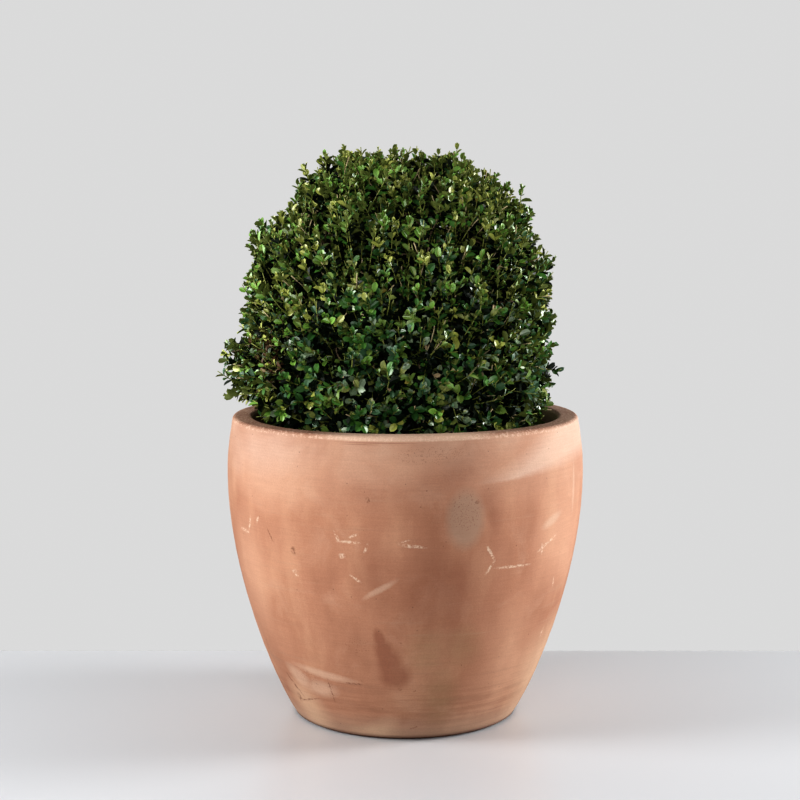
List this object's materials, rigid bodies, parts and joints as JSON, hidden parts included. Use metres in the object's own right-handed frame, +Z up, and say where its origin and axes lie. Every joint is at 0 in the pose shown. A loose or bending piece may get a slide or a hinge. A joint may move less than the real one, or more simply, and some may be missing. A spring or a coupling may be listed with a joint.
{
  "type": "box topiary ball in a terracotta pot",
  "caption": "Evergreen box shrub clipped to a ball, on a short stem with six boughs, growing in compost in a round thick-walled terracotta pot.",
  "frame": {"origin": "centre of the pot's flat underside, which stands on the ground", "axes": "+Z up, -Y towards the front, +X to the right seen from the front"},
  "size_m": [0.5706, 0.55, 0.8695],
  "materials": {
    "terracotta": "matte",
    "compost": "matte",
    "bark": "matte",
    "foliage": "satin"
  },
  "bodies": {
    "root": {"pot": "terracotta", "compost": "compost", "trunk": "bark", "bough_top": "bark", "bough_front_left": "bark", "bough_front_right": "bark", "bough_right": "bark", "bough_back": "bark", "bough_left": "bark", "foliage_top": "foliage", "foliage_front_left": "foliage", "foliage_front_right": "foliage", "foliage_right": "foliage", "foliage_back": "foliage", "foliage_left": "foliage"}
  },
  "joints": []
}
